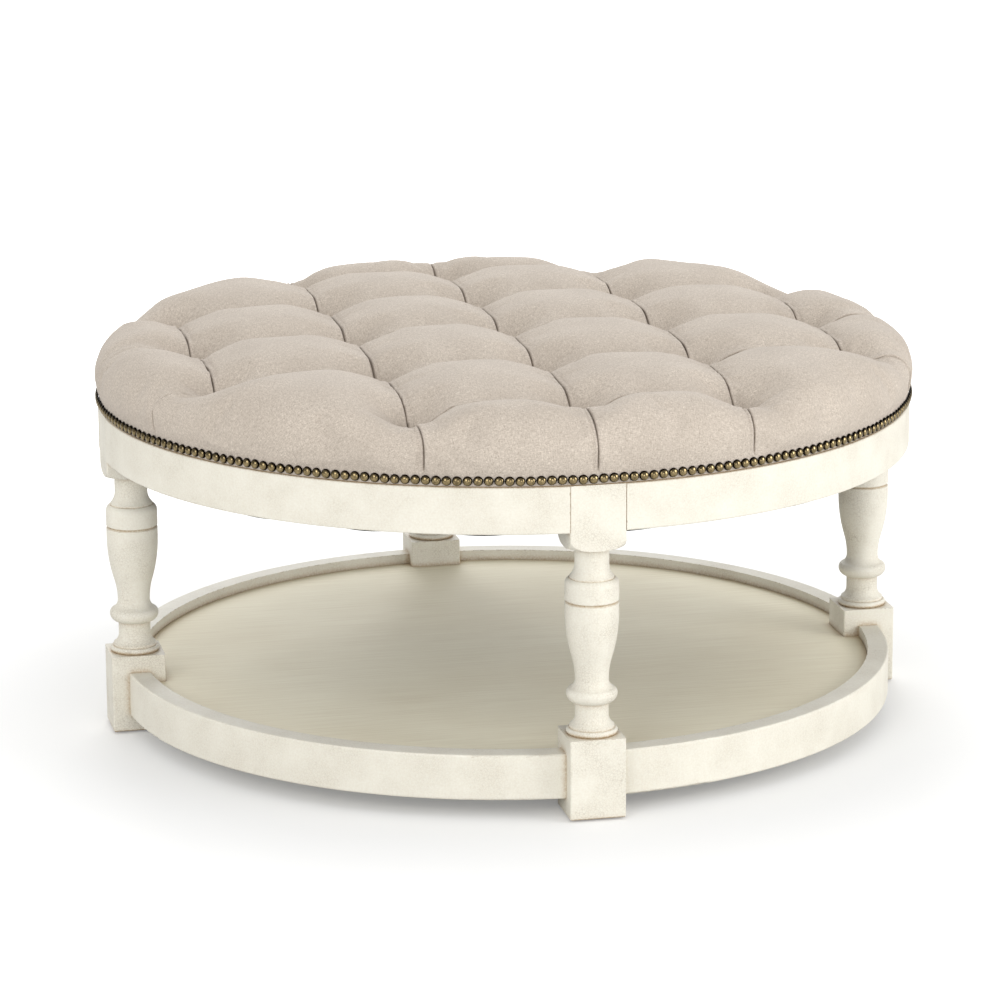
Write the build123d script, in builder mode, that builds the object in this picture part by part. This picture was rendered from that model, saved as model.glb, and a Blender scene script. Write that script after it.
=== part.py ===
from build123d import *
import os
from math import asin, cos, degrees, pi, radians, sin, sqrt

# A round ottoman coffee table: four turned legs, a curved apron, a low tray
# shelf and a deep-tufted linen top with a row of domed nails round its edge.
# Millimetres. +Z is up, and the origin is the middle of the footprint on the
# floor. The legs stand on the X and Y axes, and the front leg is on -Y.

# Heights of the frame, from the floor
apron_radius = 508.0
apron_thickness = 25.0
apron_height = 56.0
deck_height = 404.0

# Legs: a square foot, a turned middle and a square post with a rounded shoulder
post_side = 67.0
post_drop = 23.0
foot_height = 98.9
shoulder_height = 17.0
shoulder_flat_radius = 26.0
edge_ease = 2.0
foot_chamfer = 1.5
turning_radius = 31.8
leg_angles = {"front": -90, "right": 0, "back": 90, "left": 180}

# Outline of the turning, as shares of its radius and of its height
base_ring_shares = [(0.896, 0.0), (0.956, 0.016), (0.890, 0.031)]
base_fillet_shares = [(0.836, 0.032), (0.830, 0.047)]
lower_neck_shares = [(0.623, 0.098), (0.623, 0.168)]
knop_shares = [(0.655, 0.168), (0.950, 0.215), (0.865, 0.241)]
stem_shares = [(0.626, 0.290), (0.739, 0.403)]
vase_shares = [(1.0, 0.646), (1.0, 0.699)]
vase_groove_shares = [(0.931, 0.707), (1.0, 0.715)]
drum_shares = [(1.0, 0.797), (0.870, 0.829)]
upper_fillet_shares = [(0.824, 0.830), (0.824, 0.838)]
upper_neck_share = 0.638
upper_neck_start_share = 0.903

# Glides under the feet
glide_radius = 17.0
glide_thickness = 2.5
glide_pin_radius = 1.2
glide_pin_length = 14.0

# Shelf: a curved rim between the feet, a round panel in its rabbet, and two
# half-lapped bearers tenoned into the feet
rim_set_back = 21.0
rim_thickness = 38.0
rim_rabbet = 12.0
rim_height = 55.0
rim_clearance = 23.0
rim_ease = 2.5
panel_drop = 13.4
panel_thickness = 12.0
panel_edge_gap = 0.5
bearer_width = 45.0
bearer_height = 25.0
bearer_gap = 0.2
tenon_length = 20.0
tenon_width = 25.0
tenon_height = 12.0

# Dowels that join the curved rails to the legs
dowel_radius = 5.0
dowel_length = 50.0
dowel_gap = 0.1
dowel_end_gap = 1.0
apron_dowel_shares = [0.28, 0.72]
rim_dowel_shares = [0.26, 0.74]

# Corner blocks inside the apron, one notched round each post
block_height = 30.0
block_length = 200.0
block_web = 15.0
block_gap = 0.2
side_screw_offset = 62.0
deck_screw_offset = 86.0
deck_screw_set_in = 61.0

# Wood screws
screw_head_radius = 4.2
screw_head_height = 2.6
screw_radius = 2.2
screw_tip = 5.0
screw_gap = 0.1
side_screw_length = 66.0
deck_screw_length = 43.0
panel_screw_length = 33.0
panel_screw_inner_reach = 130.0
panel_screw_set_in = 127.0

# Hanger bolts that draw each post against its corner block
bolt_radius = 4.0
bolt_bite = 30.0
bolt_tail = 10.0
bolt_gap = 0.15
washer_radius = 9.0
washer_thickness = 1.6
nut_radius = 7.5
nut_height = 6.5

# Upholstered top: deck board, foam, wadding and linen cover
deck_thickness = 18.0
deck_set_back = 3.5
cover_thickness = 1.5
cover_gap = 0.3
hem_lift = 0.5
pad_height = 82.0
pad_bulge = 4.2
bulge_height = 25.0
bulge_drop = 29.0
shoulder_radius = 28.0
shoulder_turn = 55.0
roll_turn = 32.0
crown_rise = 11.4

# Tufting: a square grid that has lost its four corners
tuft_rows = 2
tuft_edge_margin = 114.3
tuft_depth = 50.0

# Foam core with bevelled edge and a punched hole at each tuft
foam_set_in = 12.0
foam_side_height = 9.0
foam_bevel_width = 52.0
foam_bevel_height = 28.0
foam_crown = 11.0
foam_hole_radius = 14.0

# Twine and clinch washers that hold the tufts down
twine_radius = 1.2
twine_gap = 0.3
twine_hole_radius = 2.5
clinch_radius = 11.0
clinch_thickness = 1.5
knot_radius = 3.0
knot_height = 4.0

# Domed nails through the cover into the deck board's edge
nail_rise = 7.6
nail_head_radius = 5.85
nail_head_height = 4.0
nail_head_edge = 0.5
nail_shank_radius = 0.8
nail_shank_length = 14.0
nail_tip = 2.0
nail_pitch = 12.05

# Dust cover under the apron, and its staples
dust_set_back = 8.0
dust_thickness = 0.8
dust_post_gap = 1.0
staple_width = 10.0
staple_wire = 0.7
staple_leg = 8.0
staple_count = 10
staple_set_in = 13.0
staple_end_angle = 8.0

# How far a cutting shape runs past what it cuts
overrun = 10.0
quarter_turn = 90.0
half_turn = 180.0
nut_sides = 6

# Places that follow from the sizes above
half_post = post_side / 2
apron_inner_radius = apron_radius - apron_thickness
apron_bottom = deck_height - apron_height
post_bottom = apron_bottom - post_drop
leg_circle = sqrt(apron_radius**2 - half_post**2) - half_post
post_inner = leg_circle - half_post
turning_height = post_bottom - foot_height
rim_radius = apron_radius - rim_set_back
rim_top = rim_clearance + rim_height
panel_top = rim_top - panel_drop
panel_bottom = panel_top - panel_thickness
panel_radius = rim_radius - rim_thickness + rim_rabbet - panel_edge_gap
bearer_bottom = panel_bottom - bearer_height
tenon_bottom = bearer_bottom + (bearer_height - tenon_height) / 2
block_bottom = deck_height - block_height
block_middle = deck_height - block_height / 2
block_inner = post_inner - block_web
deck_screw_reach = apron_radius - deck_screw_set_in
panel_screw_reaches = [panel_screw_inner_reach, rim_radius - panel_screw_set_in]
deck_top = deck_height + deck_thickness
deck_radius = apron_radius - deck_set_back
cover_radius = deck_radius + cover_gap + cover_thickness
hem = deck_height + hem_lift
nail_height = deck_height + nail_rise
nail_count = round(2 * pi * cover_radius / nail_pitch)
bulge_top = deck_top + bulge_height
crown_top = deck_top + pad_height
tuft_spacing = (cover_radius - tuft_edge_margin) / tuft_rows
tuft_steps = range(-tuft_rows, tuft_rows + 1)
tuft_grid = [(i, j) for i in tuft_steps for j in tuft_steps if abs(i * j) < tuft_rows**2]

os.makedirs("parts", exist_ok=True)


def write(piece, name):
    """Labels a finished piece and writes its file."""
    piece.part.label = name
    export_step(piece.part, f"parts/{name}.step")


def spoke_plane(angle, height):
    """A level plane at the table's middle, with X towards the leg at this angle."""
    toward = (cos(radians(angle)), sin(radians(angle)), 0)
    return Plane(origin=(0, 0, height), x_dir=toward, z_dir=(0, 0, 1))


def post_plane(angle, height):
    """A level plane on a leg's own axis, with X pointing away from the table's middle."""
    spoke = spoke_plane(angle, height)
    return Plane(origin=spoke.from_local_coords((leg_circle, 0, 0)), x_dir=spoke.x_dir, z_dir=spoke.z_dir)


def upright_plane(level, reach=0):
    """An upright plane through a level plane's X axis, with its origin moved out along that axis."""
    return Plane(origin=level.from_local_coords((reach, 0, 0)), x_dir=level.x_dir, z_dir=-level.y_dir)


def joint_plane(angle, side, mid_radius, height):
    """The plane where a curved rail meets one side of a leg, with Z pointing into the rail."""
    spoke = spoke_plane(angle, height)
    reach = sqrt(mid_radius**2 - half_post**2)
    return Plane(
        origin=spoke.from_local_coords((reach, side * half_post, 0)), x_dir=spoke.x_dir, z_dir=side * spoke.y_dir
    )


def joint_planes(angle, side, mid_radius, bottom, height, shares):
    """The dowels' planes at one joint, one above the other."""
    return [joint_plane(angle, side, mid_radius, bottom + share * height) for share in shares]


def apron_joints(angle, side):
    mid_radius = apron_radius - apron_thickness / 2
    return joint_planes(angle, side, mid_radius, apron_bottom, apron_height, apron_dowel_shares)


def rim_joints(angle, side):
    mid_radius = rim_radius - (rim_thickness - rim_rabbet) / 2
    return joint_planes(angle, side, mid_radius, rim_clearance, rim_height, rim_dowel_shares)


def dowel_holes(planes, direction):
    """Cuts blind dowel holes into the active piece, on one side of each joint plane."""
    for plane in planes:
        with BuildSketch(plane) as hole:
            Circle(dowel_radius + dowel_gap)
        extrude(hole.sketch, amount=direction * (dowel_length / 2 + dowel_end_gap), mode=Mode.SUBTRACT)


def screw_form(plane, length, gap=0, mode=Mode.ADD):
    """A countersunk wood screw along the plane's Z, or with a gap the hole that it fills."""
    with BuildSketch(Plane(origin=plane.origin, x_dir=plane.x_dir, z_dir=-plane.y_dir)) as profile:
        with BuildLine():
            Polyline(
                (0, 0),
                (screw_head_radius + gap, 0),
                (screw_radius + gap, screw_head_height),
                (screw_radius + gap, length - screw_tip),
                (0, length + gap),
                close=True,
            )
        make_face()
    revolve(profile.sketch, axis=Axis(plane.origin, plane.z_dir), mode=mode)


def side_screw_planes(angle):
    """The corner block's two screws into the apron rails, starting on the block's inner face."""
    spoke = spoke_plane(angle, block_middle)
    starts = [spoke.from_local_coords((block_inner, side * side_screw_offset, 0)) for side in (-1, 1)]
    return [Plane(origin=start, x_dir=spoke.y_dir, z_dir=spoke.x_dir) for start in starts]


def deck_screw_planes(angle):
    """The corner block's two screws up into the deck board."""
    spoke = spoke_plane(angle, block_bottom)
    starts = [spoke.from_local_coords((deck_screw_reach, side * deck_screw_offset, 0)) for side in (-1, 1)]
    return [Plane(origin=start, x_dir=spoke.x_dir, z_dir=spoke.z_dir) for start in starts]


def panel_screw_planes(angle):
    """Screws up through one arm of a bearer into the shelf panel."""
    spoke = spoke_plane(angle, bearer_bottom)
    starts = [spoke.from_local_coords((reach, 0, 0)) for reach in panel_screw_reaches]
    return [Plane(origin=start, x_dir=spoke.x_dir, z_dir=spoke.z_dir) for start in starts]


def turned(shares):
    """A point of the turning's outline, in the upright plane of a leg's axis."""
    return (turning_radius * shares[0], foot_height + turning_height * shares[1])


def leg(angle):
    """One leg, turned and squared from one piece of wood, with its joints cut."""
    upright = upright_plane(post_plane(angle, 0))
    axis = Axis(upright.origin, (0, 0, 1))
    neck = turning_radius * upper_neck_share
    neck_start = foot_height + turning_height * upper_neck_start_share
    corner_radius = half_post * sqrt(2)
    shoulder_top = post_bottom + shoulder_height
    with BuildPart() as piece:
        # square foot
        with BuildSketch(post_plane(angle, glide_thickness)):
            RectangleRounded(post_side, post_side, edge_ease)
        extrude(amount=foot_height - glide_thickness)
        chamfer(piece.faces().sort_by(Axis.Z)[0].edges(), length=foot_chamfer)
        # square post, with its lower corners turned away to a rounded shoulder
        with BuildSketch(post_plane(angle, post_bottom)):
            RectangleRounded(post_side, post_side, edge_ease)
        extrude(amount=deck_height - post_bottom)
        with BuildSketch(upright):
            with BuildLine():
                shoulder = TangentArc(
                    (corner_radius, shoulder_top), (shoulder_flat_radius, post_bottom), tangent=(0, -1)
                )
                Polyline(
                    shoulder @ 1,
                    (shoulder_flat_radius, post_bottom - overrun),
                    (corner_radius + overrun, post_bottom - overrun),
                    (corner_radius + overrun, shoulder_top),
                    shoulder @ 0,
                )
            make_face()
        revolve(axis=axis, mode=Mode.SUBTRACT)
        # turned middle
        with BuildSketch(upright):
            with BuildLine():
                Polyline((0, foot_height), turned(base_ring_shares[0]))
                ThreePointArc(*[turned(shares) for shares in base_ring_shares])
                Polyline(turned(base_ring_shares[2]), *[turned(shares) for shares in base_fillet_shares])
                TangentArc(turned(lower_neck_shares[0]), turned(base_fillet_shares[1]), tangent=(0, -1))
                Polyline(*[turned(shares) for shares in lower_neck_shares], turned(knop_shares[0]))
                TangentArc(turned(knop_shares[1]), turned(knop_shares[0]), tangent=(0, -1))
                TangentArc(turned(knop_shares[1]), turned(knop_shares[2]), tangent=(0, 1))
                TangentArc(turned(stem_shares[0]), turned(knop_shares[2]), tangent=(0, -1))
                TangentArc(turned(stem_shares[0]), turned(stem_shares[1]), tangent=(0, 1))
                TangentArc(turned(vase_shares[0]), turned(stem_shares[1]), tangent=(0, -1))
                Polyline(*[turned(shares) for shares in vase_shares + vase_groove_shares + drum_shares[:1]])
                TangentArc(turned(drum_shares[0]), turned(drum_shares[1]), tangent=(0, 1))
                Polyline(turned(drum_shares[1]), *[turned(shares) for shares in upper_fillet_shares])
                TangentArc((neck, neck_start), turned(upper_fillet_shares[1]), tangent=(0, -1))
                Polyline((neck, neck_start), (neck, post_bottom), (0, post_bottom), (0, foot_height))
            make_face()
        revolve(axis=axis)
        # dowel holes, bearer mortise, bolt hole and glide pin hole
        for side in (-1, 1):
            dowel_holes(apron_joints(angle, side) + rim_joints(angle, side), -1)
        with BuildSketch(spoke_plane(angle, tenon_bottom - bearer_gap)):
            Rectangle(2 * (post_inner + tenon_length + dowel_end_gap), tenon_width + 2 * bearer_gap)
            with Locations((leg_circle, 0)):
                Rectangle(post_side, post_side, mode=Mode.INTERSECT)
        extrude(amount=tenon_height + 2 * bearer_gap, mode=Mode.SUBTRACT)
        bolt_mouth = spoke_plane(angle, block_middle).from_local_coords((post_inner, 0, 0))
        with BuildSketch(Plane(origin=bolt_mouth, z_dir=upright.x_dir)):
            Circle(bolt_radius + bolt_gap)
        extrude(amount=bolt_bite + dowel_end_gap, mode=Mode.SUBTRACT)
        with BuildSketch(post_plane(angle, glide_thickness)):
            Circle(glide_pin_radius + dowel_gap)
        extrude(amount=glide_pin_length + dowel_end_gap, mode=Mode.SUBTRACT)
    return piece


def curved_rail(angle, outer_radius, thickness, bottom, height, ease):
    """A quarter of a hoop between two legs, its ends cut square to the legs' sides."""
    with BuildSketch(spoke_plane(angle, bottom)) as plan:
        Circle(outer_radius)
        Circle(outer_radius - thickness, mode=Mode.SUBTRACT)
        with Locations((half_post, half_post)):
            Rectangle(outer_radius, outer_radius, align=(Align.MIN, Align.MIN), mode=Mode.INTERSECT)
    rail = extrude(plan.sketch, amount=height)
    hoop_edges = rail.edges().filter_by(GeomType.CIRCLE)
    fillet(hoop_edges.sort_by(SortBy.RADIUS)[-2:], radius=ease)


def crown_at(distance):
    """Height of the pad's crown at a distance from the middle, before tufting."""
    return crown_top - crown_radius + sqrt(crown_radius**2 - distance**2)


# The pad's side swells from the nail line to the bulge, turns over a shoulder and
# rolls into the crown. Each arc's radius follows from the heights that it joins.
side_arc_radius = (bulge_drop**2 + pad_bulge**2) / (2 * pad_bulge)
side_turn = degrees(asin(bulge_drop / side_arc_radius))
shoulder_sine = sin(radians(shoulder_turn))
shoulder_cosine = cos(radians(shoulder_turn))
roll_sine = sin(radians(shoulder_turn + roll_turn))
roll_cosine = cos(radians(shoulder_turn + roll_turn))
roll_rise = pad_height - crown_rise - bulge_height - shoulder_radius * shoulder_sine
roll_radius = roll_rise / (roll_sine - shoulder_sine)
roll_end = (
    cover_radius + pad_bulge - shoulder_radius * (1 - shoulder_cosine) - roll_radius * (shoulder_cosine - roll_cosine),
    crown_top - crown_rise,
)
crown_radius = (roll_end[0] ** 2 + crown_rise**2) / (2 * crown_rise)


def swell(inset, base):
    """Half of the pad's upright section, drawn in all over by inset, from the height base upwards."""
    bulge = (cover_radius + pad_bulge - inset, bulge_top)
    with BuildSketch() as section:
        with BuildLine():
            side = JernArc(bulge, (0, -1), side_arc_radius - inset, -side_turn)
            shoulder = JernArc(bulge, (0, 1), shoulder_radius - inset, shoulder_turn)
            roll = JernArc(shoulder @ 1, shoulder % 1, roll_radius - inset, roll_turn)
            top = crown_top - inset
            reach, rise = (roll @ 1).X, top - (roll @ 1).Y
            RadiusArc(roll @ 1, (0, top), -(reach**2 + rise**2) / (2 * rise))
            Polyline((0, top), (0, base), (cover_radius - inset, base), side @ 1)
        make_face()
    return section.sketch


def tuft_places():
    """Each tuft's place, with the height of the crown above it."""
    points = [(i * tuft_spacing, j * tuft_spacing) for i, j in tuft_grid]
    return [(x, y, crown_at(sqrt(x**2 + y**2))) for x, y in points]


# Legs
for name, angle in leg_angles.items():
    write(leg(angle), f"leg_{name}")

# Glides, each a disc with a pin driven up into the foot
with BuildPart() as glides:
    for angle in leg_angles.values():
        with BuildSketch(post_plane(angle, 0)):
            Circle(glide_radius)
        extrude(amount=glide_thickness)
        with BuildSketch(post_plane(angle, glide_thickness)):
            Circle(glide_pin_radius)
        extrude(amount=glide_pin_length)
write(glides, "glides")

# Apron rails and shelf rim rails, one of each in every quarter between two legs
rail_names = {"front_right": -90, "back_right": 0, "back_left": 90, "front_left": 180}
for name, angle in rail_names.items():
    ends = [(angle, 1), (angle + quarter_turn, -1)]
    with BuildPart() as rail:
        curved_rail(angle, apron_radius, apron_thickness, apron_bottom, apron_height, edge_ease)
        for leg_angle, side in ends:
            dowel_holes(apron_joints(leg_angle, side), 1)
        for leg_angle, side in ends:
            screw_form(side_screw_planes(leg_angle)[max(side, 0)], side_screw_length, screw_gap, Mode.SUBTRACT)
    write(rail, f"apron_rail_{name}")
    with BuildPart() as rim:
        curved_rail(angle, rim_radius, rim_thickness, rim_clearance, rim_height, rim_ease)
        with BuildSketch(Plane.XY.offset(panel_bottom)):
            Circle(panel_radius + panel_edge_gap)
        extrude(amount=rim_height, mode=Mode.SUBTRACT)
        for leg_angle, side in ends:
            dowel_holes(rim_joints(leg_angle, side), 1)
    write(rim, f"shelf_rim_{name}")

# Dowels across every joint between a rail and a leg
for name, joints in {"apron": apron_joints, "rim": rim_joints}.items():
    with BuildPart() as dowels:
        for angle in leg_angles.values():
            for side in (-1, 1):
                for plane in joints(angle, side):
                    with BuildSketch(plane):
                        Circle(dowel_radius)
                    extrude(amount=dowel_length / 2, both=True)
    write(dowels, f"{name}_dowels")

# Shelf panel, resting in the rim's rabbet and notched round the feet
with BuildPart() as shelf_panel:
    with BuildSketch(Plane.XY.offset(panel_bottom)):
        Circle(panel_radius)
        for angle in leg_angles.values():
            with PolarLocations(leg_circle, 1, start_angle=angle):
                Rectangle(post_side + 2 * panel_edge_gap, post_side + 2 * panel_edge_gap, mode=Mode.SUBTRACT)
    extrude(amount=panel_thickness)
    for angle in leg_angles.values():
        for plane in panel_screw_planes(angle):
            screw_form(plane, panel_screw_length, screw_gap, Mode.SUBTRACT)
write(shelf_panel, "shelf_panel")

# Bearers, the lengthwise one lapped over the crosswise one
lap_height = bearer_height / 2
for name, angle, lap_bottom in (
    ("crosswise", 0, bearer_bottom + lap_height),
    ("lengthwise", 90, bearer_bottom),
):
    with BuildPart() as bearer:
        with BuildSketch(spoke_plane(angle, bearer_bottom)):
            Rectangle(2 * post_inner, bearer_width)
        extrude(amount=bearer_height)
        with BuildSketch(spoke_plane(angle, tenon_bottom)):
            Rectangle(2 * (post_inner + tenon_length), tenon_width)
        extrude(amount=tenon_height)
        with BuildSketch(spoke_plane(angle, lap_bottom)):
            Rectangle(bearer_width + 2 * bearer_gap, bearer_width + 2 * bearer_gap)
        extrude(amount=lap_height, mode=Mode.SUBTRACT)
        for arm in (angle, angle + half_turn):
            for plane in panel_screw_planes(arm):
                screw_form(plane, panel_screw_length, screw_gap, Mode.SUBTRACT)
    write(bearer, f"shelf_bearer_{name}")

# Corner blocks, notched round the posts and screwed to the rails
for name, angle in leg_angles.items():
    with BuildPart() as corner_block:
        with BuildSketch(spoke_plane(angle, block_bottom)):
            with Locations((block_inner, 0)):
                Rectangle(apron_radius, block_length, align=(Align.MIN, Align.CENTER))
            Circle(apron_inner_radius - block_gap, mode=Mode.INTERSECT)
            with Locations((leg_circle, 0)):
                Rectangle(post_side + 2 * block_gap, post_side + 2 * block_gap, mode=Mode.SUBTRACT)
        extrude(amount=block_height)
        for plane in side_screw_planes(angle):
            screw_form(plane, side_screw_length, screw_gap, Mode.SUBTRACT)
        for plane in deck_screw_planes(angle):
            screw_form(plane, deck_screw_length, screw_gap, Mode.SUBTRACT)
        bolt_mouth = spoke_plane(angle, block_middle).from_local_coords((block_inner, 0, 0))
        with BuildSketch(Plane(origin=bolt_mouth, z_dir=spoke_plane(angle, 0).x_dir)):
            Circle(bolt_radius + bolt_gap)
        extrude(amount=2 * block_web, mode=Mode.SUBTRACT)
    write(corner_block, f"corner_block_{name}")

# Screws, each kind a group of its own
with BuildPart() as corner_block_screws:
    for angle in leg_angles.values():
        for plane in side_screw_planes(angle):
            screw_form(plane, side_screw_length)
write(corner_block_screws, "corner_block_screws")

with BuildPart() as deck_screws:
    for angle in leg_angles.values():
        for plane in deck_screw_planes(angle):
            screw_form(plane, deck_screw_length)
write(deck_screws, "deck_screws")

with BuildPart() as panel_screws:
    for angle in leg_angles.values():
        for plane in panel_screw_planes(angle):
            screw_form(plane, panel_screw_length)
write(panel_screws, "panel_screws")


def bolt_plane(angle, reach):
    """The plane square to a hanger bolt at this distance from the table's middle."""
    spoke = spoke_plane(angle, block_middle)
    return Plane(origin=spoke.from_local_coords((reach, 0, 0)), x_dir=spoke.y_dir, z_dir=spoke.x_dir)


# Hanger bolts with their washers and nuts, against the corner blocks' inner faces
with BuildPart() as leg_bolts:
    for angle in leg_angles.values():
        with BuildSketch(bolt_plane(angle, block_inner - bolt_tail)):
            Circle(bolt_radius)
        extrude(amount=bolt_tail + block_web + bolt_bite)
write(leg_bolts, "leg_bolts")

with BuildPart() as leg_bolt_washers:
    for angle in leg_angles.values():
        with BuildSketch(bolt_plane(angle, block_inner - washer_thickness)):
            Circle(washer_radius)
            Circle(bolt_radius + bolt_gap, mode=Mode.SUBTRACT)
        extrude(amount=washer_thickness)
write(leg_bolt_washers, "leg_bolt_washers")

with BuildPart() as leg_bolt_nuts:
    for angle in leg_angles.values():
        with BuildSketch(bolt_plane(angle, block_inner - washer_thickness - nut_height)):
            RegularPolygon(nut_radius, nut_sides)
            Circle(bolt_radius + bolt_gap, mode=Mode.SUBTRACT)
        extrude(amount=nut_height)
write(leg_bolt_nuts, "leg_bolt_nuts")

# Deck board, drilled for the tufting twine
with BuildPart() as deck_board:
    with BuildSketch(Plane.XY.offset(deck_height)):
        Circle(deck_radius)
        with Locations([place[:2] for place in tuft_places()]):
            Circle(twine_hole_radius, mode=Mode.SUBTRACT)
    extrude(amount=deck_thickness)
    for angle in leg_angles.values():
        for plane in deck_screw_planes(angle):
            screw_form(plane, deck_screw_length, screw_gap, Mode.SUBTRACT)
write(deck_board, "deck_board")

# Foam core with a bevelled edge, punched at each tuft
foam_radius = cover_radius - foam_set_in
foam_shoulder = deck_top + foam_side_height + foam_bevel_height
with BuildPart() as foam_pad:
    with BuildSketch(Plane.XZ):
        with BuildLine():
            crown = ThreePointArc(
                (foam_bevel_width - foam_radius, foam_shoulder),
                (0, foam_shoulder + foam_crown),
                (foam_radius - foam_bevel_width, foam_shoulder),
            )
            Polyline(
                crown @ 1,
                (foam_radius, deck_top + foam_side_height),
                (foam_radius, deck_top),
                (-foam_radius, deck_top),
                (-foam_radius, deck_top + foam_side_height),
                crown @ 0,
            )
        make_face()
        Rectangle(foam_radius, pad_height + deck_top, align=(Align.MIN, Align.MIN), mode=Mode.INTERSECT)
    revolve(axis=Axis.Z)
    with BuildSketch(Plane.XY.offset(deck_top)):
        with Locations([place[:2] for place in tuft_places()]):
            Circle(foam_hole_radius)
    extrude(amount=pad_height, mode=Mode.SUBTRACT)
write(foam_pad, "foam_pad")

# Linen cover, a crowned shell with an even thickness, open underneath
with BuildPart() as linen_cover:
    with BuildSketch(Plane.XZ):
        add(swell(0, hem))
        add(swell(cover_thickness, hem - overrun), mode=Mode.SUBTRACT)
    revolve(axis=Axis.Z)
write(linen_cover, "linen_cover")

# Wadding, which fills the space between the foam and the cover
with BuildPart() as wadding:
    with BuildSketch(Plane.XZ):
        add(swell(cover_thickness, hem))
    revolve(axis=Axis.Z)
    with BuildSketch(Plane.XY.offset(deck_top)):
        Circle(apron_radius)
    extrude(amount=-deck_height, mode=Mode.SUBTRACT)
    add(foam_pad.part, mode=Mode.SUBTRACT)
    with BuildSketch(Plane.XY.offset(deck_top)):
        with Locations([place[:2] for place in tuft_places()]):
            Circle(twine_radius + twine_gap)
    extrude(amount=pad_height, mode=Mode.SUBTRACT)
write(wadding, "wadding")

# Twine from each tuft down through foam and deck to a knot under its clinch washer
washer_bottom = deck_height - clinch_thickness
with BuildPart() as tufting_twine:
    for x, y, level in tuft_places():
        with BuildSketch(Plane((x, y, washer_bottom))):
            Circle(twine_radius)
        extrude(amount=level - tuft_depth - cover_thickness - washer_bottom)
        with BuildSketch(Plane((x, y, washer_bottom - knot_height))):
            Circle(knot_radius)
        extrude(amount=knot_height)
write(tufting_twine, "tufting_twine")

with BuildPart() as clinch_washers:
    with BuildSketch(Plane.XY.offset(washer_bottom)):
        with Locations([place[:2] for place in tuft_places()]):
            Circle(clinch_radius)
            Circle(twine_radius + twine_gap, mode=Mode.SUBTRACT)
    extrude(amount=clinch_thickness)
write(clinch_washers, "clinch_washers")

# Domed nails, one made on the X axis and copied round the edge
nail_dome = nail_head_height - nail_head_edge
dome_radius = (nail_head_radius**2 + nail_dome**2) / (2 * nail_dome)
with BuildPart() as nail:
    with BuildSketch(Plane.XZ):
        with BuildLine():
            dome = RadiusArc(
                (nail_head_edge, nail_height + nail_head_radius), (nail_head_height, nail_height), dome_radius
            )
            Polyline(
                dome @ 1,
                (-nail_shank_length, nail_height),
                (nail_tip - nail_shank_length, nail_height + nail_shank_radius),
                (0, nail_height + nail_shank_radius),
                (0, nail_height + nail_head_radius),
                dome @ 0,
            )
        make_face()
    revolve(axis=Axis((0, 0, nail_height), (1, 0, 0)))

with BuildPart() as nailheads:
    with PolarLocations(cover_radius, nail_count, start_angle=half_turn / nail_count):
        add(nail.part)
write(nailheads, "nailheads")

# Dust cover stapled under the apron, notched round the posts
dust_bottom = apron_bottom - dust_thickness
with BuildPart() as dust_cover:
    with BuildSketch(Plane.XY.offset(dust_bottom)):
        Circle(apron_radius - dust_set_back)
        for angle in leg_angles.values():
            with PolarLocations(leg_circle, 1, start_angle=angle):
                Rectangle(post_side + 2 * dust_post_gap, post_side + 2 * dust_post_gap, mode=Mode.SUBTRACT)
    extrude(amount=dust_thickness)
write(dust_cover, "dust_cover")

# Staples, each a crown under the dust cover and two legs up into a rail
staple_span = quarter_turn - 2 * staple_end_angle
staple_circle = apron_radius - staple_set_in
with BuildPart() as staple:
    with BuildSketch(Plane.YZ):
        with Locations((0, dust_bottom - staple_wire)):
            Rectangle(staple_width, staple_leg, align=(Align.CENTER, Align.MIN))
        with Locations((0, dust_bottom)):
            Rectangle(
                staple_width - 2 * staple_wire, staple_leg, align=(Align.CENTER, Align.MIN), mode=Mode.SUBTRACT
            )
    extrude(amount=staple_wire / 2, both=True)

with BuildPart() as dust_cover_staples:
    for angle in rail_names.values():
        with PolarLocations(
            staple_circle, staple_count, start_angle=angle + staple_end_angle, angular_range=staple_span
        ):
            add(staple.part)
write(dust_cover_staples, "dust_cover_staples")
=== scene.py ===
from math import atan2, cos, exp, hypot, pi, radians, sin, sqrt

import bmesh
import bpy
import numpy as np
from mathutils import Matrix, Vector, noise


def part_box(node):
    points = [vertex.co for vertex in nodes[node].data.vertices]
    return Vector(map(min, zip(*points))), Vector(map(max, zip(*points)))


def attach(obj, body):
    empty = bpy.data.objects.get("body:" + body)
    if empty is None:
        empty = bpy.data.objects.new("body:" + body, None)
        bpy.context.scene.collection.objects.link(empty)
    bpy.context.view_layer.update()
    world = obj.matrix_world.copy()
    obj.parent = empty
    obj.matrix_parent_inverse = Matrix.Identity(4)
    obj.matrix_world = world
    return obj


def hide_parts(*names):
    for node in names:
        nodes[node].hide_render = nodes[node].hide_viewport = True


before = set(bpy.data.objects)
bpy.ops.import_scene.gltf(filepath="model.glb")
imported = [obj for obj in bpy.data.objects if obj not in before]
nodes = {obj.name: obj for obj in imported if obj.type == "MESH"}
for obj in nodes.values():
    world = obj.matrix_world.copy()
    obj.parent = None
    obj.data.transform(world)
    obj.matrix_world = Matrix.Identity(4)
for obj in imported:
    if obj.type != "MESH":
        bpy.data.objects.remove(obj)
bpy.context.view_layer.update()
mm = 0.001

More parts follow.
